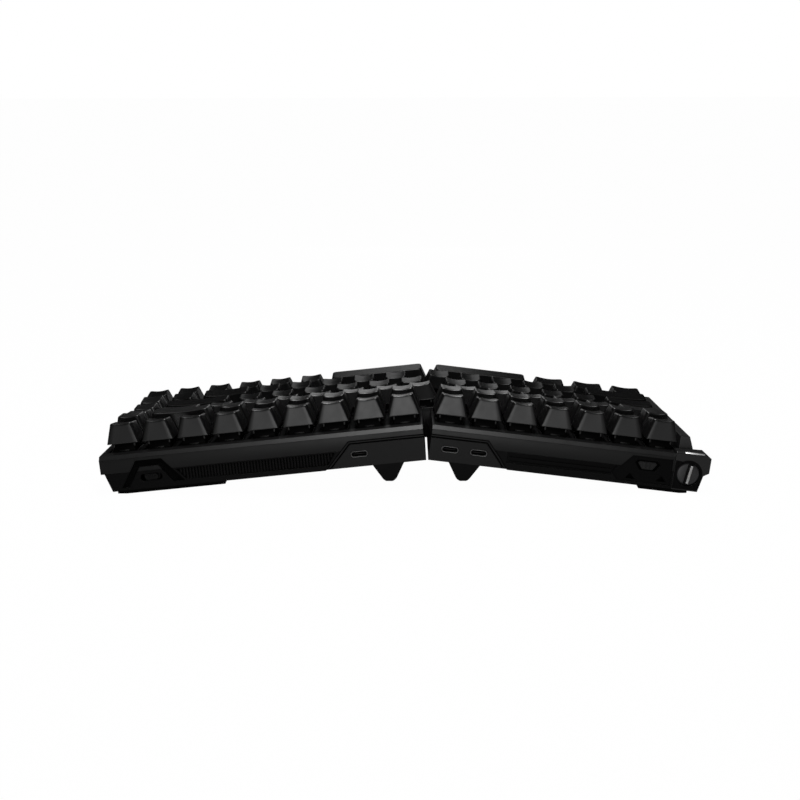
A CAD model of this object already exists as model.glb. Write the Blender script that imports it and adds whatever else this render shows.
import math

import bmesh
import bpy
from mathutils import Matrix, Vector
from mathutils.geometry import tessellate_polygon


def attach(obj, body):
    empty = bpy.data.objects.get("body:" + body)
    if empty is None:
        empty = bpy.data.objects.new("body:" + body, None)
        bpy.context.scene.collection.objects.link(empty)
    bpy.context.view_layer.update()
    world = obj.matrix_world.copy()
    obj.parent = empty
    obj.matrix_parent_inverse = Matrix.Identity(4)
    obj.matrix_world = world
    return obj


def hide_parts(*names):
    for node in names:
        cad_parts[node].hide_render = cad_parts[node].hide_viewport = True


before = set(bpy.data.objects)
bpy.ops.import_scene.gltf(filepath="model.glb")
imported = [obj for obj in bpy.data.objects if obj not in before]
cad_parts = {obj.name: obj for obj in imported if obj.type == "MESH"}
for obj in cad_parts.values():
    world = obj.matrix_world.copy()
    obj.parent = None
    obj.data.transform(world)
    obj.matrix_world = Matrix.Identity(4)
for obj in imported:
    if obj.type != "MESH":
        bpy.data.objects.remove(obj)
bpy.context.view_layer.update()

# Camera: it stands behind the keyboard, a little above the desk, and looks back towards the
# user. Lengths in this file are millimetres, and MM turns them into metres.
MM = 0.001
camera_place = (-0.524, 716.816, 213.17)
camera_pitch, camera_turn, camera_roll = 13.891, 180.249, -0.134
camera = bpy.data.objects.new("camera", bpy.data.cameras.new("camera"))
bpy.context.scene.collection.objects.link(camera)
camera.data.sensor_width = 36
camera.data.lens = 57.58
camera.data.clip_start = 0.01
camera.matrix_world = (
    Matrix.Translation(Vector(camera_place) * MM)
    @ Matrix.Rotation(math.radians(camera_turn), 4, "Z")
    @ Matrix.Rotation(math.radians(90 - camera_pitch), 4, "X")
    @ Matrix.Rotation(math.radians(camera_roll), 4, "Z")
)
bpy.context.scene.camera = camera
bpy.context.scene.view_settings.view_transform = "Standard"


# Studio: a wide sheet of white paper in a pale surround. One soft box stands low behind the
# camera and one hangs overhead, and beyond the keyboard stand a bright strip and a dim wall.
# The paper shows white to the camera and keeps a faint shadow.
class Socket:
    """An output in a node tree. + - * on it add Math nodes, and node() adds any other node."""

    def __init__(self, tree, out=None):
        self.tree = tree
        self.out = out

    def node(self, kind, settings={}, inputs={}, output=0):
        made = self.tree.nodes.new(kind)
        for name, value in settings.items():
            if name == "stops":
                ramp = made.color_ramp.elements
                for place, (at, colour) in enumerate(value):
                    stop = ramp[place] if place < len(ramp) else ramp.new(at)
                    stop.position, stop.color = at, colour
            else:
                setattr(made, name, value)
        for key, value in inputs.items():
            if isinstance(value, Socket):
                self.tree.links.new(value.out, made.inputs[key])
            else:
                made.inputs[key].default_value = value
        return Socket(self.tree, made.outputs[output])

    def math(self, operation, *values):
        return self.node("ShaderNodeMath", {"operation": operation}, dict(enumerate(values)))

    def __add__(self, other):
        return self.math("ADD", self, other)

    def __radd__(self, other):
        return self.math("ADD", other, self)

    def __sub__(self, other):
        return self.math("SUBTRACT", self, other)

    def __rsub__(self, other):
        return self.math("SUBTRACT", other, self)

    def __mul__(self, other):
        return self.math("MULTIPLY", self, other)

    def __rmul__(self, other):
        return self.math("MULTIPLY", other, self)

    def into(self, socket):
        self.tree.links.new(self.out, socket)


def ray(sheet, name):
    return sheet.node("ShaderNodeLightPath", output=name)


surround_fill, surround_gloss = 0.02, 0.02
world = bpy.data.worlds.new("surround")
world.use_nodes = True
bpy.context.scene.world = world
air = Socket(world.node_tree)
background = world.node_tree.nodes["Background"]
background.inputs["Color"].default_value = (1, 1, 1, 1)
(surround_fill + (1 - surround_fill) * (ray(air, "Is Camera Ray") + ray(air, "Is Transmission Ray"))
 + (surround_gloss - surround_fill) * ray(air, "Is Glossy Ray")).into(background.inputs["Strength"])

paper_size, paper_white = 40, 0.3
paper_seen, paper_gloss, paper_glow = 0.96, 0.04, 1.03
bpy.ops.mesh.primitive_plane_add(size=paper_size)
floor = bpy.context.object
floor.name = "floor"
paper = bpy.data.materials.new("white paper")
paper.use_nodes = True
sheet = Socket(paper.node_tree)
matt = paper.node_tree.nodes["Principled BSDF"]
matt.inputs["Base Color"].default_value = (paper_white, paper_white, paper_white, 1)
matt.inputs["Roughness"].default_value = 0.95
matt.inputs["Specular IOR Level"].default_value = 0.1
sheet.node("ShaderNodeMixShader", {}, {
    0: paper_seen * (ray(sheet, "Is Camera Ray") + ray(sheet, "Is Transmission Ray"))
    + paper_gloss * ray(sheet, "Is Glossy Ray"),
    1: Socket(paper.node_tree, matt.outputs[0]),
    2: sheet.node("ShaderNodeEmission", {}, {"Strength": paper_glow}),
}).into(paper.node_tree.nodes["Material Output"].inputs["Surface"])
floor.data.materials.append(paper)


def soft_box(name, place, aim, size, watts):
    lamp = bpy.data.objects.new(name, bpy.data.lights.new(name, "AREA"))
    bpy.context.scene.collection.objects.link(lamp)
    lamp.data.shape = "RECTANGLE"
    lamp.data.size, lamp.data.size_y = size
    lamp.data.energy = watts
    lamp.location = place
    lamp.rotation_euler = (Vector(aim) - Vector(place)).to_track_quat("-Z", "Y").to_euler()


soft_box("low box behind the camera", (0.0, 1.15, 0.07), (0, 0.05, 0.05), (0.36, 0.1), 1.05)
soft_box("box overhead", (0.0, 0.05, 0.9), (0, 0.03, 0.03), (0.22, 0.7), 7.0)
soft_box("bright strip beyond", (0.0, -1.0, 0.07), (0, 0, 0.06), (0.32, 0.13), 0.115)
soft_box("dim wall beyond", (0.0, -1.25, 0.42), (0, 0, 0.03), (0.3, 0.5), 0.34)


# Lower cases: deep trays injection moulded in the darkest grade, with a coarse spark-eroded
# grain outside. The tent feet are the same resin, and their ends rest on the desk.
def new_finish(name, constants):
    made = bpy.data.materials.new(name)
    made.use_nodes = True
    shader = made.node_tree.nodes["Principled BSDF"]
    for key, value in constants.items():
        shader.inputs[key].default_value = value
    return made, Socket(made.node_tree), shader.inputs


def tint(paint, factor, low, high):
    return paint.node("ShaderNodeMix", {"data_type": "RGBA"},
                      {0: factor, 6: (*low, 1), 7: (*high, 1)}, 2)


def speckle(paint, size, detail=2.0, stretch=(1, 1, 1)):
    """Noise whose grains are about `size` millimetres across."""
    place = paint.node("ShaderNodeTexCoord", output="Object")
    place = paint.node("ShaderNodeMapping", {}, {"Vector": place, "Scale": stretch})
    return paint.node("ShaderNodeTexNoise", {}, {"Vector": place, "Scale": 1 / (size * MM),
                                                 "Detail": detail}, "Fac")


def moulded(name, tone, roughness, grain, depth, gloss=0.5, edge=0.0, crown=None):
    """Dark moulded resin: a grain of `grain` mm, clouds in its tone and rubbed patches."""
    made, paint, sockets = new_finish(name, {"Specular IOR Level": gloss})
    clouds = speckle(paint, 14, 3)
    rubbed = speckle(paint, 3.5, 4, (1, 0.35, 1))
    fine = speckle(paint, grain, 1)
    dark, light = [c * 0.75 for c in tone], [c * 1.3 for c in tone]
    tint(paint, 0.6 * clouds + 0.4 * fine, dark, light).into(sockets["Base Color"])
    (roughness - 0.07 + 0.08 * clouds + 0.06 * rubbed).into(sockets["Roughness"])
    bump = {"Strength": 0.3, "Distance": depth * MM, "Height": fine}
    if edge:
        bump["Normal"] = paint.node("ShaderNodeBevel", {"samples": 6}, {"Radius": edge * MM})
    if crown:
        up, middle, top, bend = crown
        place = paint.node("ShaderNodeNewGeometry", output="Position")
        level = paint.node("ShaderNodeVectorMath", {"operation": "DOT_PRODUCT"},
                           {0: place, 1: up}, 1)
        level = paint.math("MINIMUM", level - middle, top)
        bump["Normal"] = paint.node("ShaderNodeBump", {}, {
            "Strength": 1.0, "Distance": 1.0, "Height": (-bend / 2) * level * level,
            "Normal": bump["Normal"]})
    paint.node("ShaderNodeBump", {}, bump).into(sockets["Normal"])
    return made


def dress(material, *names):
    for name in names:
        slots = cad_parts[name].data.materials
        slots.clear()
        slots.append(material)


def pair(*pieces):
    return [f"{side}_{piece}" for piece in pieces for side in ("left", "right")]


lower_resin = moulded("lower case resin", (0.003, 0.003, 0.0031), 0.45, 0.35, 0.015, 0.12, 0.4)
dress(lower_resin, *pair("bottom_case", "rear_tent_foot", "front_tent_foot"))

# Pads: strips of soft black rubber with a matt skin, glued under the floor of each half. They
# keep it from sliding on the desk.
pad_rubber = moulded("pad rubber", (0.003, 0.003, 0.003), 0.8, 0.7, 0.06, 0.1, 0.3)
dress(pad_rubber, *pair("rubber_feet"))


# Screws and hinge pins: turned steel, the screws driven up from below into the posts of the
# case and the pins pushed through the ears of the tent feet.
def drawn_steel(name, tone, roughness, size):
    made, paint, sockets = new_finish(name, {"Metallic": 1.0})
    streaks = speckle(paint, size, 2, (1, 1, 0.15))
    tint(paint, streaks, [tone * 0.8] * 3, [tone * 1.15] * 3).into(sockets["Base Color"])
    (roughness - 0.08 + 0.16 * streaks).into(sockets["Roughness"])
    paint.node("ShaderNodeBump", {}, {"Strength": 0.2, "Distance": 0.01 * MM,
                                      "Height": streaks}).into(sockets["Normal"])
    return made


fastener_steel = drawn_steel("fastener steel", 0.4, 0.35, 0.4)
dress(fastener_steel, *pair("case_screws", "tent_foot_pins"))

# Battery: a flat pouch cell in blue shrink film, lying on the floor of the left half. The
# film is pulled tight, with faint ripples, and carries no label.
film, paint, sockets = new_finish("battery film", {"Coat Roughness": 0.15})
ripple = speckle(paint, 9, 2, (1, 0.2, 1))
tint(paint, ripple, (0.012, 0.03, 0.10), (0.02, 0.05, 0.16)).into(sockets["Base Color"])
(0.22 + 0.15 * ripple).into(sockets["Roughness"])
(0.3 * ripple).into(sockets["Coat Weight"])
paint.node("ShaderNodeBump", {}, {"Strength": 0.4, "Distance": 0.15 * MM,
                                  "Height": ripple}).into(sockets["Normal"])
dress(film, "battery")

# Circuit boards: glass fibre laminate under dark green solder mask, whose copper runs show as
# slightly raised, slightly lighter lines.
mask, paint, sockets = new_finish("solder mask", {"Specular IOR Level": 0.5})
place = paint.node("ShaderNodeTexCoord", output="Object")
runs = paint.node("ShaderNodeTexBrick", {"offset": 0.3, "squash": 1.4}, {
    "Vector": place, "Scale": 1 / (4 * MM), "Mortar Size": 0.06, "Mortar Smooth": 0.2}, "Fac")
weave = speckle(paint, 0.5, 1)
tint(paint, 0.8 * runs + 0.2 * weave, (0.008, 0.03, 0.018), (0.018, 0.065, 0.036)).into(
    sockets["Base Color"])
(0.25 + 0.15 * weave).into(sockets["Roughness"])
paint.node("ShaderNodeBump", {}, {"Strength": 0.3, "Distance": 0.05 * MM,
                                  "Height": runs}).into(sockets["Normal"])
dress(mask, *pair("circuit_board"))

# Damping foam: a sheet of grey open-cell foam between board and plate, cut round each switch
# and held by the plate that presses on it.
foam, paint, sockets = new_finish("damping foam", {"Specular IOR Level": 0.1})
place = paint.node("ShaderNodeTexCoord", output="Object")
cell_size = 0.7
cells = paint.node("ShaderNodeTexVoronoi", {},
                   {"Vector": place, "Scale": 1 / (cell_size * MM)}, "Distance")
tint(paint, cells, (0.02, 0.02, 0.022), (0.09, 0.09, 0.095)).into(sockets["Base Color"])
(0.8 + 0.15 * cells).into(sockets["Roughness"])
paint.node("ShaderNodeBump", {}, {"Strength": 0.8, "Distance": 0.3 * MM,
                                  "Height": cells}).into(sockets["Normal"])
dress(foam, *pair("plate_foam"))

# Switch plates: steel sheet, punched for the switches and powder coated black, held between
# the upper case and the posts of the lower case.
plate_coat = moulded("plate coating", (0.003, 0.003, 0.0031), 0.5, 0.5, 0.04, 0.1, 0.2)
dress(plate_coat, *pair("switch_plate"))


# Switch housings: moulded black resin boxes, snapped into the plate from above. Each has a
# flange, a tapered upper part with two clips at each end, and a hole for its slider.
slope, tents = 3.0, {"left": -7.02, "right": 5.86}
half_places = {"left": (-14.774, 54.896, 36.262), "right": (-9.814, 54.896, 36.226)}
half_frames = {
    side: Matrix.Scale(MM, 4) @ Matrix.Translation(half_places[side])
    @ Matrix.Rotation(math.radians(tents[side]), 4, "Y")
    @ Matrix.Rotation(math.radians(slope), 4, "X")
    for side in tents
}
pitch = 19.05
key_rows = {
    "left": [[1] * 7, [1] * 7, [1.5] + [1] * 5, [1.75] + [1] * 5, [2.25] + [1] * 5,
             [1.25] * 3 + [3.25]],
    "right": [[1] * 9, [1] * 6 + [2, 1], [1] * 7 + [1.5, 1], [1] * 6 + [2.25, 1],
              [1] * 5 + [1.75, 1, 1], [3.25] + [1] * 6],
}
half_units = {"left": 7, "right": 9}


def key_frame(side, row, index):
    widths = key_rows[side][row]
    start = (sum(widths[:index]) - half_units[side] if side == "left"
             else half_units[side] - sum(widths[index:]))
    centre = ((start + widths[index] / 2) * pitch, -(row + 0.5) * pitch, 0)
    return half_frames[side] @ Matrix.Translation(centre)


def ring(left, right, front, rear, corner, along=1, across=1, bends=3):
    """A rounded rectangle as points, anticlockwise; straight sides are cut into parts."""
    arcs = []
    for x, y, start in ((left + corner, front + corner, 180), (right - corner, front + corner, 270),
                        (right - corner, rear - corner, 0), (left + corner, rear - corner, 90)):
        turns = [math.radians(start + 90 * step / bends) for step in range(bends + 1)]
        arcs.append([(x + corner * math.cos(t), y + corner * math.sin(t)) for t in turns])
    points = []
    for place, arc in enumerate(arcs):
        points += arc
        (x0, y0), (x1, y1) = arc[-1], arcs[(place + 1) % 4][0]
        parts = along if place % 2 == 0 else across
        points += [(x0 + (x1 - x0) * step / parts, y0 + (y1 - y0) * step / parts)
                   for step in range(1, parts)]
    return points


def skin(mesh, place, rings):
    """Joins rings of equal count into one closed skin, with a fan at each end."""
    made = [[mesh.verts.new(place @ Vector(p)) for p in points] for points in rings]
    count = len(made[0])
    for low, high in zip(made, made[1:]):
        for i in range(count):
            mesh.faces.new((low[i], low[(i + 1) % count], high[(i + 1) % count], high[i]))
    for points in (made[0][::-1], made[-1]):
        middle = mesh.verts.new(sum((v.co for v in points), Vector()) / count)
        for i in range(count):
            mesh.faces.new((points[i], points[(i + 1) % count], middle))


def brick(mesh, place, low, high, broken):
    """A block with broken edges, as a small moulded piece has."""
    rings = []
    for inset, z in ((broken, low[2]), (0, low[2] + broken),
                     (0, high[2] - broken), (broken, high[2])):
        outline = ring(low[0] + inset, high[0] - inset, low[1] + inset, high[1] - inset,
                       broken, bends=2)
        rings.append([(x, y, z) for x, y in outline])
    skin(mesh, place, rings)


def make_piece(name, mesh, material, body, slot, *nodes):
    data = bpy.data.meshes.new(name)
    mesh.to_mesh(data)
    mesh.free()
    piece = bpy.data.objects.new(name, data)
    bpy.context.scene.collection.objects.link(piece)
    data.materials.append(material)
    data.shade_smooth()
    data.set_sharp_from_angle(angle=math.radians(40))
    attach(piece, body)
    if nodes:
        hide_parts(*nodes)


def square_ring(half_w, half_d, corner, z):
    return [(x, y, z) for x, y in ring(-half_w, half_w, -half_d, half_d, corner)]


switch_resin = moulded("switch resin", (0.003, 0.003, 0.0031), 0.42, 0.5, 0.01, 0.15)
clip_resin = moulded("clip resin", (0.012, 0.012, 0.0122), 0.4, 0.5, 0.01, 0.6)
flange_half, body_half, base_half, top_half = 7.5, 6.95, 6.7, 5.2
hole_half_w, hole_half_d = 3.7, 3.2
flange_top, housing_top, body_low, body_floor = 1.0, 5.8, -5.0, -3.4
clip_x, clip_half, clip_out, clip_deep, clip_low, clip_high = 5.6, 0.5, 0.45, 0.55, 3.2, 4.9
step_half, step_y, step_deep = 2.6, 6.6, 0.35
notch_x, notch_half, notch_deep = 1.1, 0.45, 0.35
for side in tents:
    mesh, clips = bmesh.new(), bmesh.new()
    for row, widths in enumerate(key_rows[side]):
        for index in range(len(widths)):
            place = key_frame(side, row, index)
            skin(mesh, place, [
                square_ring(body_half - 0.4, body_half - 0.4, 0.5, body_low),
                square_ring(body_half, body_half, 0.5, body_low + 0.6),
                square_ring(body_half, body_half, 0.5, 0),
                square_ring(flange_half, flange_half, 0.6, 0.02),
                square_ring(flange_half, flange_half, 0.6, flange_top - 0.2),
                square_ring(flange_half - 0.2, flange_half - 0.2, 0.6, flange_top),
                square_ring(base_half, base_half, 1.0, flange_top + 0.02),
                square_ring(base_half - 0.35, base_half - 0.35, 1.0, flange_top + 1.6),
                square_ring(top_half + 0.2, top_half + 0.2, 1.0, housing_top - 0.3),
                square_ring(top_half, top_half, 1.0, housing_top),
                square_ring(hole_half_w + 0.2, hole_half_d + 0.2, 0.5, housing_top),
                square_ring(hole_half_w, hole_half_d, 0.4, housing_top - 0.2),
                square_ring(hole_half_w, hole_half_d, 0.4, body_floor),
            ])
            for end in (-1, 1):
                for x in (-clip_x, clip_x):
                    y = end * (top_half + clip_out)
                    brick(clips, place, (x - clip_half, y - clip_deep, clip_low),
                          (x + clip_half, y + clip_deep, clip_high), 0.15)
                brick(clips, place, (-step_half, end * step_y - step_deep, flange_top - 0.1),
                      (step_half, end * step_y + step_deep, flange_top + 0.8), 0.12)
                for x in (-notch_x, notch_x):
                    y = end * (flange_half - notch_deep)
                    brick(clips, place, (x - notch_half, y - 0.3, flange_top - 0.2),
                          (x + notch_half, y + 0.3, flange_top + 0.12), 0.08)
    make_piece(f"{side}_housings", mesh, switch_resin, f"{side}_half", "switch_plastic",
               f"{side}_switch_housings")
    make_piece(f"{side}_clips", clips, clip_resin, f"{side}_half", "switch_plastic")


# Springs: coils of plated music wire, one in each switch, standing on the housing's floor and
# shown at the length that a pressed key leaves them.
spring_wire = drawn_steel("spring wire", 0.55, 0.25, 0.2)
coil_r, wire_r, coil_turns, coil_low, coil_high = 2.0, 0.2, 7, -3.4, 4.8
for side in tents:
    mesh = bmesh.new()
    steps = 12
    for row, widths in enumerate(key_rows[side]):
        for index in range(len(widths)):
            rings = []
            for step in range(coil_turns * steps + 1):
                turn = 2 * math.pi * step / steps
                share = step / (coil_turns * steps)
                middle = coil_low + wire_r + (coil_high - coil_low - 2 * wire_r) * share
                rings.append([
                    ((coil_r + wire_r * math.cos(a)) * math.cos(turn),
                     (coil_r + wire_r * math.cos(a)) * math.sin(turn),
                     middle + wire_r * math.sin(a))
                    for a in (-k * math.pi / 3 for k in range(6))])
            skin(mesh, key_frame(side, row, index), rings)
    make_piece(f"{side}_coils", mesh, spring_wire, f"{side}_half", "spring_steel",
               f"{side}_switch_springs")

# Stabilisers: black resin like that of the switches, with a bent wire along each wide key. They
# are clipped into the plate.
stabiliser_resin = moulded("stabiliser resin", (0.018, 0.018, 0.019), 0.4, 0.5, 0.01, 0.5, 0.15)
dress(stabiliser_resin, *pair("stabilisers"))

# Upper cases: frames around the key field in a satin black grade with a fine even grain,
# screwed down from below. The rail of the left half is moulded to match.
crown_level, crown_top, crown_bend = -5.0, 4.0, 28.0
for side, half_frame in half_frames.items():
    up = (half_frame.to_3x3() @ Vector((0, 0, 1))).normalized()
    middle = up.dot(half_frame @ Vector((0, 0, crown_level)))
    crown = (tuple(up), middle, crown_top * MM, crown_bend)
    upper_resin = moulded(f"{side} upper case resin", (0.005, 0.005, 0.0051), 0.37, 0.25, 0.01,
                          0.35, 0.45, crown)
    dress(upper_resin, f"{side}_top_case")
rail_resin = moulded("rail resin", (0.012, 0.012, 0.0122), 0.37, 0.25, 0.01, 0.9, 0.45)
dress(rail_resin, "side_rail")

# Ports: folded steel shells around a black insulator with its contact tongue, soldered to a
# small board that lies on a shelf behind the panel.
port_places = {"left": (-10.8, -26.2), "right": (35.2,)}
port_w, port_h, port_level = 9.0, 3.3, -11.2
port_face, port_floor, port_back = 7.6, 0.8, -0.4
port_board_edge, port_board_rear, port_board_d, port_board_t = 7.0, 5.45, 8.0, 1.0
shell_steel = drawn_steel("port shell", 0.5, 0.45, 0.3)
insulator = moulded("port insulator", (0.004, 0.004, 0.004), 0.5, 0.3, 0.01, 0.3)


def stadium(inset, y):
    """The outline of a port, drawn in by `inset`, as a ring of points at depth y."""
    w, h = port_w / 2 - inset, port_h / 2 - inset
    return [(x, y, z) for x, z in ring(-w, w, -h, h, 0.98 * h, bends=6)]


for side, places in port_places.items():
    shells, liners, board = bmesh.new(), bmesh.new(), bmesh.new()
    for x in places:
        place = half_frames[side] @ Matrix.Translation((x, 0, port_level))
        skin(shells, place, [stadium(inset, y) for inset, y in (
            (0.3, port_floor), (0.3, port_face - 0.15), (0.25, port_face - 0.04), (0.15, port_face),
            (0.05, port_face - 0.04), (0, port_face - 0.15), (0, port_back))])
        skin(liners, place, [stadium(inset, y) for inset, y in (
            (0.55, port_floor + 0.2), (0.55, port_face - 0.5), (0.45, port_face - 0.4),
            (0.32, port_face - 0.5), (0.32, port_floor + 0.05))])
        brick(liners, place, (-3.3, port_floor, -0.35), (3.3, port_face - 1.2, 0.35), 0.12)
    low, high = min(places) - port_board_edge, max(places) + port_board_edge
    under = port_level - port_h / 2
    brick(board, half_frames[side], (low, port_board_rear - port_board_d, under - port_board_t),
          (high, port_board_rear, under), 0.1)
    make_piece(f"{side}_port_shells", shells, shell_steel, f"{side}_half", "port_shell",
               f"{side}_usb_ports")
    make_piece(f"{side}_port_liners", liners, insulator, f"{side}_half", "inlay")
    make_piece(f"{side}_port_board", board, mask, f"{side}_half", "board")

# Port panels: flat moulded plates clipped into the rear face from outside, each in a black
# gasket, with a thin bead between the gasket and the edge of the case.
inlay_resin = moulded("inlay resin", (0.005, 0.005, 0.0051), 0.38, 0.3, 0.01, 0.26, 0.15)
gasket_foam = moulded("gasket foam", (0.002, 0.002, 0.002), 0.9, 0.4, 0.05, 0.1)
outward = {"left": half_frames["left"] @ Matrix.Scale(-1, 4, (1, 0, 0)),
           "right": half_frames["right"]}
panel_low, panel_back, panel_face, panel_in = -18.0, 6.62, 7.6, 1.3
bead_face, gasket_face = 7.75, 6.8
panel_paths = {"left": [(0.05, -4.4), (30.4, -4.4), (38.0, -13.4), (41.3, panel_low)],
               "right": [(0.05, -4.4), (40.2, -4.4), (52.6, panel_low)]}


def plate(mesh, place, loops, rear, front):
    """A flat piece between two depths, with loops[0] as its outline and the rest as holes."""
    points = [point for loop in loops for point in loop]
    rear_row, front_row = [[mesh.verts.new(place @ Vector((x, y, z))) for x, z in points]
                           for y in (rear, front)]
    for a, b, c in tessellate_polygon([[Vector((x, z, 0)) for x, z in loop] for loop in loops]):
        mesh.faces.new((rear_row[a], rear_row[b], rear_row[c]))
        mesh.faces.new((front_row[c], front_row[b], front_row[a]))
    start = 0
    for loop in loops:
        for i in range(len(loop)):
            j = (i + 1) % len(loop)
            mesh.faces.new((rear_row[start + i], rear_row[start + j],
                            front_row[start + j], front_row[start + i]))
        start += len(loop)
    bmesh.ops.recalc_face_normals(mesh, faces=mesh.faces)


def shifted(path, by):
    """The path moved sideways, to its left where `by` is positive."""
    lines = []
    for a, b in zip(path, path[1:]):
        along = (Vector(b) - Vector(a)).normalized()
        aside = Vector((-along.y, along.x)) * by
        lines.append((Vector(a) + aside, along))
    points = [lines[0][0]]
    for (a, u), (b, v) in zip(lines, lines[1:]):
        points.append(a + u * ((b - a).cross(v) / u.cross(v)))
    a, u = lines[-1]
    return [tuple(p) for p in points] + [tuple(a + u * ((panel_low - a.y) / u.y))]


for side, path in panel_paths.items():
    panel, bead, gasket = bmesh.new(), bmesh.new(), bmesh.new()
    edge = [(path[0][0], panel_low)]
    holes = [[(abs(x) + px, port_level + pz) for px, _, pz in stadium(-0.15, 0)]
             for x in port_places[side]]
    plate(panel, outward[side], [shifted(path, -panel_in) + edge] + holes, panel_back, panel_face)
    for mesh, outer, inner, face in ((bead, 0.2, -0.5, bead_face),
                                     (gasket, 0.55, -1.35, gasket_face)):
        border = shifted(path, outer) + shifted(path, inner)[::-1]
        plate(mesh, outward[side], [border], panel_back, face)
    make_piece(f"{side}_panel", panel, inlay_resin, f"{side}_half", "inlay", f"{side}_port_panel")
    make_piece(f"{side}_panel_bead", bead, inlay_resin, f"{side}_half", "inlay")
    make_piece(f"{side}_panel_gasket", gasket, gasket_foam, f"{side}_half", "rubber")

# Grille of the right half: a dark sheet with a comb of upright ribs moulded onto it. It lies in
# a long sunk field of the rear face and lets nothing through.
rib_resin = moulded("rib resin", (0.004, 0.004, 0.0041), 0.42, 0.3, 0.01, 0.16)
grille_top, grille_low, grille_back, grille_base, rib_face = -9.35, -15.3, 6.82, 7.4, 7.85
grille_left, grille_right, left_slant, right_slant = 48.3, 133.3, 1.45, 1.13
grille_outline = [(grille_left, grille_top), (grille_right, grille_top),
                  (128.05, grille_low), (52.35, grille_low)]
rib_pitch, rib_w, rib_shift, rib_count, shortest_rib = 1.65, 0.8, 0.3, 50, 1
base, ribs = bmesh.new(), bmesh.new()
plate(base, outward["right"], [grille_outline], grille_back, grille_base)
for count in range(1, rib_count + 1):
    x = grille_left + rib_pitch * count - rib_shift
    reach = min((x - grille_left) * left_slant, (grille_right - rib_w - x) * right_slant,
                grille_top - grille_low)
    if reach > shortest_rib:
        brick(ribs, outward["right"], (x, grille_base - 0.1, grille_top - reach),
              (x + rib_w, rib_face, grille_top), 0.12)
make_piece("grille_base", base, gasket_foam, "right_half", "inlay", "right_rear_grille")
make_piece("grille_ribs", ribs, rib_resin, "right_half", "inlay")

# Sunk fields of the rear faces: thin dark sheets glued into the arch of the right half and into
# the framed field and the grooved band of the left half, round the window and the two holes.
field_resin = moulded("field resin", (0.002, 0.002, 0.0021), 0.45, 0.3, 0.01, 0.1)
arch_outer = [(129.6, -15.6), (140.8, -2.75), (154.5, -2.75), (163.1, -16.6)]
arch_inner = [(135.0, -16.2), (142.5, -6.05), (152.7, -6.05), (159.6, -16.6)]
arch_floor, field_floor, hole_floor, band_floor, sheet_t = 7.1, 7.5, 5.9, 7.3, 0.08
framed_field = [(98.5, -13.0), (108.1, -2.5), (129.7, -2.5), (129.7, -16.5), (101.6, -16.5)]
window = [(109.6, -6.0), (111.0, -4.6), (121.6, -4.6), (123.2, -6.4), (120.6, -10.0),
          (112.4, -10.0)]
three_sided = [[(105.4, -15.4), (110.6, -15.4), (107.6, -12.2)],
               [(122.0, -15.2), (127.4, -15.2), (124.8, -12.0)]]
guide_slot = [(113.1, -8.0), (119.7, -8.0), (119.7, -5.8), (113.1, -5.8)]
band = [(41.8, -9.1), (100.4, -9.1), (98.1, -12.8), (97.3, -14.1), (41.8, -14.5)]
grooves = [[(42.6, z - 0.7), (97.2, z - 0.7), (97.2, z), (42.6, z)] for z in (-10.6, -12.9)]
arch, field, depths, strip = bmesh.new(), bmesh.new(), bmesh.new(), bmesh.new()
plate(arch, outward["right"], [arch_outer + arch_inner[::-1]], arch_floor, arch_floor + sheet_t)
plate(field, outward["left"], [framed_field, window] + three_sided,
      field_floor, field_floor + sheet_t)
plate(depths, outward["left"], [window, guide_slot], hole_floor, hole_floor + sheet_t)
for hole in three_sided:
    plate(depths, outward["left"], [hole], hole_floor, hole_floor + sheet_t)
plate(strip, outward["left"], [band] + grooves, band_floor, band_floor + sheet_t)
make_piece("arch_sheet", arch, gasket_foam, "right_half", "inlay")
make_piece("field_sheet", field, field_resin, "left_half", "inlay")
make_piece("hole_sheets", depths, gasket_foam, "left_half", "inlay")
make_piece("band_sheet", strip, field_resin, "left_half", "inlay")

# Slide knobs: small moulded sliders, dark on the right half and lighter on the left one, each
# guided in the slot behind it. The left knob fills most of its six-sided window, and two grooves
# divide its face.
knob_resin = moulded("knob resin", (0.012, 0.012, 0.0122), 0.42, 0.3, 0.01, 0.35, 0.1)
dark_knob_resin = moulded("dark knob resin", (0.004, 0.004, 0.0041), 0.42, 0.3, 0.01, 0.2, 0.1)
dress(dark_knob_resin, "right_rear_switch")
knob_back, knob_step, knob_face = 6.2, 7.3, 7.75
knob_outline = [(111.9, -5.2), (120.6, -5.2), (121.5, -6.3), (119.3, -9.5), (113.8, -9.5),
                (111.3, -6.2)]
knob_lands = [[(112.1, -5.4), (115.2, -5.4), (115.2, -9.3), (113.9, -9.3), (111.6, -6.2)],
              [(115.8, -5.4), (117.3, -5.4), (117.3, -9.3), (115.8, -9.3)],
              [(117.9, -5.4), (120.5, -5.4), (121.2, -6.3), (119.1, -9.3), (117.9, -9.3)]]
knob = bmesh.new()
plate(knob, outward["left"], [knob_outline], knob_back, knob_step)
for land in knob_lands:
    plate(knob, outward["left"], [land], knob_step - 0.1, knob_face)
guide_low, guide_high = (-117.9, 4.3, -7.7), (-114.9, knob_back + 0.1, -6.1)
brick(knob, half_frames["left"], guide_low, guide_high, 0.1)
make_piece("left_knob", knob, knob_resin, "left_rear_switch", "inlay", "left_rear_switch")

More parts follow.
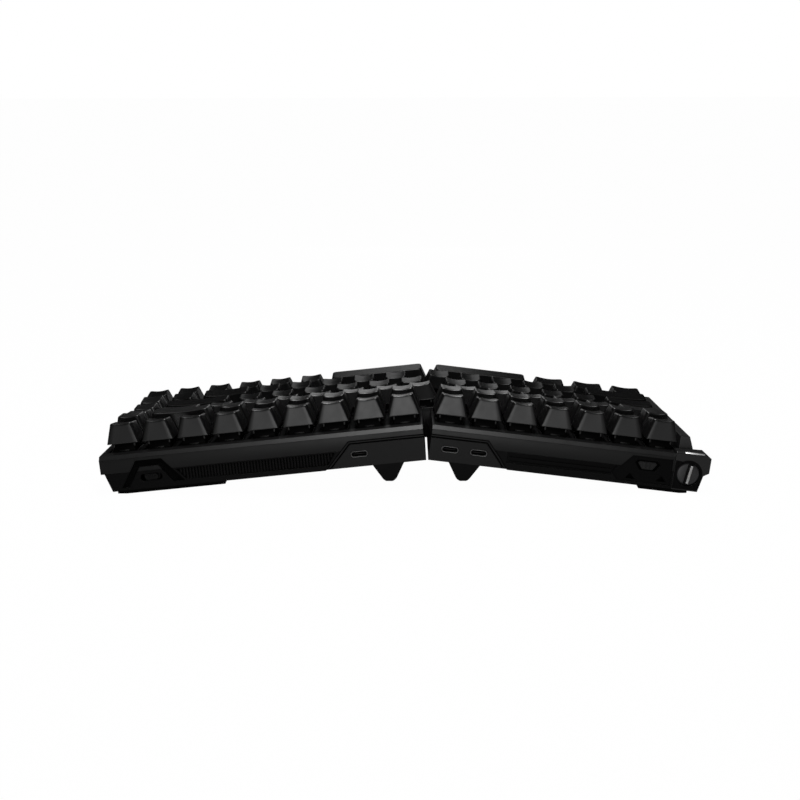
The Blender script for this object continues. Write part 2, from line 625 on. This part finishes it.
# Corner block: a painted casting over the rear outer corner of the left half. A black sheet
# covers its rear face round the dial, and its upper rear edge is machined bright.
corner_paint = moulded("corner paint", (0.01, 0.01, 0.0102), 0.36, 0.4, 0.01, 0.6, 0.5)
dress(corner_paint, "corner_cap")
bright_edge = drawn_steel("machined edge", 0.85, 0.5, 0.3)
dial_x, dial_z, seat_r, sheet_r = 138.6, -9.3, 6.45, 7.6
corner_face, edge_start, edge_end, edge_half, edge_t = 8.0, 135.5, 146.0, 0.5, 0.1
edge_middle = (0, 7.5, 2.086)
turns = [math.pi * step / 18 for step in range(36)]
seat = [(dial_x + seat_r * math.cos(t), dial_z + seat_r * math.sin(t)) for t in turns]
arc = [(dial_x + sheet_r * math.cos(t), dial_z + sheet_r * math.sin(t)) for t in turns[:13]]
sheet_foot = [(131.0, -2.4), (131.0, -17.8), (144.8, -17.8), (146.2, -10.2)]
edge_place = (half_frames["left"] @ Matrix.Translation(edge_middle)
              @ Matrix.Rotation(math.radians(45), 4, "X"))
black, edge = bmesh.new(), bmesh.new()
plate(black, outward["left"], [arc + sheet_foot, seat], corner_face, corner_face + 0.1)
brick(edge, edge_place, (-edge_end, -edge_t, -edge_half), (-edge_start, edge_t, edge_half), 0.08)
make_piece("corner_sheet", black, field_resin, "left_half", "inlay")
make_piece("corner_edge", edge, bright_edge, "left_half", "inlay")

# Mode dial: a turned disc with a knurled rim on a shaft, and a dark grip bar across it. One
# side of the bar's face carries a painted white mark.
grip_resin = moulded("grip resin", (0.003, 0.003, 0.0031), 0.42, 0.3, 0.01, 0.1, 0.1)
dial_paint = moulded("dial paint", (0.04, 0.04, 0.041), 0.38, 0.4, 0.01, 0.7)
mark_paint = moulded("mark paint", (0.75, 0.75, 0.74), 0.5, 0.4, 0.01, 0.4)
dial_place = half_frames["left"] @ Matrix.Translation((-dial_x, 0, dial_z))
dial_face, dial_t, dial_r, shaft_r, shaft_end, grip_end = 7.65, 1.6, 6.2, 1.6, 2.05, 9.05
flat_r, bevel_r, knurls, knurl_depth = 5.4, 5.75, 48, 0.15
grip_turn, grip_half, grip_reach = -8, 1.3, 5.7
mark_left, mark_right, mark_reach = -1.15, 0.15, 5.0


def round_ring(radius, y, knurl=0.0):
    points = []
    for step in range(2 * knurls):
        turn, reach = math.pi * step / knurls, radius - knurl * (step % 2)
        points.append((reach * math.cos(turn), y, reach * math.sin(turn)))
    return points


dial, grip, mark = bmesh.new(), bmesh.new(), bmesh.new()
skin(dial, dial_place, [
    round_ring(2.5, dial_face), round_ring(flat_r, dial_face), round_ring(bevel_r, dial_face - 0.1),
    round_ring(dial_r, dial_face - 0.45, knurl_depth),
    round_ring(dial_r, dial_face - dial_t, knurl_depth),
    round_ring(shaft_r, dial_face - dial_t - 0.02), round_ring(shaft_r, shaft_end)])
grip_place = dial_place @ Matrix.Rotation(math.radians(grip_turn), 4, "Y")
brick(grip, grip_place, (-grip_half, dial_face - 0.2, -grip_reach),
      (grip_half, grip_end - 0.05, grip_reach), 0.3)
brick(mark, grip_place, (mark_left, grip_end - 0.2, -mark_reach),
      (mark_right, grip_end, mark_reach), 0.05)
make_piece("dial_disc", dial, dial_paint, "mode_dial", "dial", "mode_dial")
make_piece("dial_grip", grip, grip_resin, "mode_dial", "dial")
make_piece("dial_mark", mark, mark_paint, "mode_dial", "dial")


# Keycaps: thin moulded caps with leaning sides, rounded edges and a finger dish across the
# top, pressed onto the cross posts of the sliders. They carry no legends. The front rows are
# more matt than the rear ones, to match the tones of the photo.
cap_gap, cap_wall, cap_roof, dish_depth = 1.75, 1.2, 1.4, 0.9
rear_heights = [11.5, 11.5, 9.2, 7.9, 8.0, 8.0]
front_rises = [-1.7, -0.5, -0.8, 0.6, 1.4, 1.4]
skirt_level, boss_low, boss_top = 5.5, 0.8, 10.3
boss_w, boss_d, stem_w, stem_d = 3.4, 2.9, 2.3, 2.5
side_lean, front_lean = 2.9, 2.4
rear_leans = [0.95, 0.95, 2.4, 2.8, 2.8, 2.8]
skirt_corner, top_corner = 0.8, 1.6
lip_rounds = [0.8, 0.8, 0.6, 0.5, 0.5, 0.5]
bar_units, wide_units, near_stem, far_stem = 3, 2, 11.9, 15.5


def keycap(mesh, place, units, row):
    half_w, half_d = (units * pitch - cap_gap) / 2, (pitch - cap_gap) / 2
    rear_h, front_h = rear_heights[row], rear_heights[row] + front_rises[row]
    high, lip, rear_lean = max(rear_h, front_h), lip_rounds[row], rear_leans[row]
    chord, top_rear, top_front = half_w - side_lean, half_d - rear_lean, front_lean - half_d
    middle = (top_rear + top_front) / 2
    along, across = round(7 * units), 4

    def top(x, y):
        flat = front_h + (rear_h - front_h) * (y - top_front) / (top_rear - top_front)
        return flat - (dish_depth * max(0.0, 1 - (x / chord) ** 2) if units < bar_units else 0.0)

    def outline(share, inset, corner):
        return ring(-half_w + side_lean * share + inset, half_w - side_lean * share - inset,
                    -half_d + front_lean * share + inset, half_d - rear_lean * share - inset,
                    corner, along, across, 4)

    ceiling = min(rear_h, front_h) - dish_depth - cap_roof
    under = ceiling / high
    rings = [[(x * scale, y * scale, ceiling) for x, y in outline(under, cap_wall, 0.5)]
             for scale in (0.2, 0.6)]
    rings += [[(x, y, ceiling * share) for x, y in outline(under * share, cap_wall, 0.5)]
              for share in (1, 0.5, 0.02)]
    rings += [[(x, y, z) for x, y in outline(0, inset, skirt_corner)]
              for inset, z in ((cap_wall - 0.15, 0), (0.2, 0), (0.06, 0.06))]
    for share in (0.02, 0.06, 0.5, 0.94):
        corner = skirt_corner + (top_corner - skirt_corner) * share
        rings.append([(x, y, (top(x, y) - lip) * share)
                      for x, y in outline(share * (1 - lip / high), 0, corner)])
    for step in range(6):
        turn = math.radians(18 * step)
        drop = lip * (1 - math.sin(turn))
        rings.append([(x, y, top(x, y) - drop)
                      for x, y in outline(1 - drop / high, lip * (1 - math.cos(turn)), top_corner)])
    rings += [[(x * scale, middle + (y - middle) * scale,
                top(x * scale, middle + (y - middle) * scale))
               for x, y in outline(1, lip, top_corner)] for scale in (0.96, 0.7, 0.35)]
    skin(mesh, place @ Matrix.Translation((0, 0, skirt_level)), rings)


cap_resin = moulded("keycap resin", (0.0025, 0.0025, 0.0026), 0.35, 0.22, 0.01, 0.8)
matt_resin = moulded("matt keycap resin", (0.0015, 0.0015, 0.0016), 0.35, 0.22, 0.01, 0.25)
first_matt_row = 3
key_groups = {
    "left": {"left_function_keys": [(0, 0, 6)], "left_number_keys": [(1, 0, 6)],
             "tab_key": [(2, 0, 0)], "left_upper_letter_keys": [(2, 1, 5)],
             "caps_key": [(3, 0, 0)], "left_home_letter_keys": [(3, 1, 5)],
             "left_shift_key": [(4, 0, 0)], "left_lower_letter_keys": [(4, 1, 5)],
             "left_modifier_keys": [(5, 0, 2)], "left_space_bar": [(5, 3, 3)]},
    "right": {"right_function_keys": [(0, 0, 8)], "right_number_keys": [(1, 0, 5)],
              "backspace_key": [(1, 6, 6)], "right_upper_letter_keys": [(2, 0, 6)],
              "backslash_key": [(2, 7, 7)], "right_home_letter_keys": [(3, 0, 5)],
              "enter_key": [(3, 6, 6)], "right_lower_letter_keys": [(4, 0, 4)],
              "right_shift_key": [(4, 5, 5)], "right_space_bar": [(5, 0, 0)],
              "right_modifier_keys": [(5, 1, 3)], "arrow_keys": [(4, 6, 6), (5, 4, 6)],
              "navigation_keys": [(1, 7, 7), (2, 8, 8), (3, 7, 7), (4, 7, 7)]},
}
for side, groups in key_groups.items():
    for name, spans in groups.items():
        mesh = bmesh.new()
        for row, first, last in spans:
            for index in range(first, last + 1):
                units = key_rows[side][row][index]
                place = key_frame(side, row, index)
                keycap(mesh, place, units, row)
                brick(mesh, place, (-boss_w, -boss_d, boss_low), (boss_w, boss_d, boss_top), 0.2)
                stem = near_stem if units < bar_units else far_stem
                for x in (-stem, stem) if units >= wide_units else ():
                    brick(mesh, place, (x - stem_w, -stem_d, 0),
                          (x + stem_w, stem_d, boss_top), 0.2)
        finish = cap_resin if spans[0][0] < first_matt_row else matt_resin
        make_piece(f"{name}_caps", mesh, finish, name, "keycap", name)
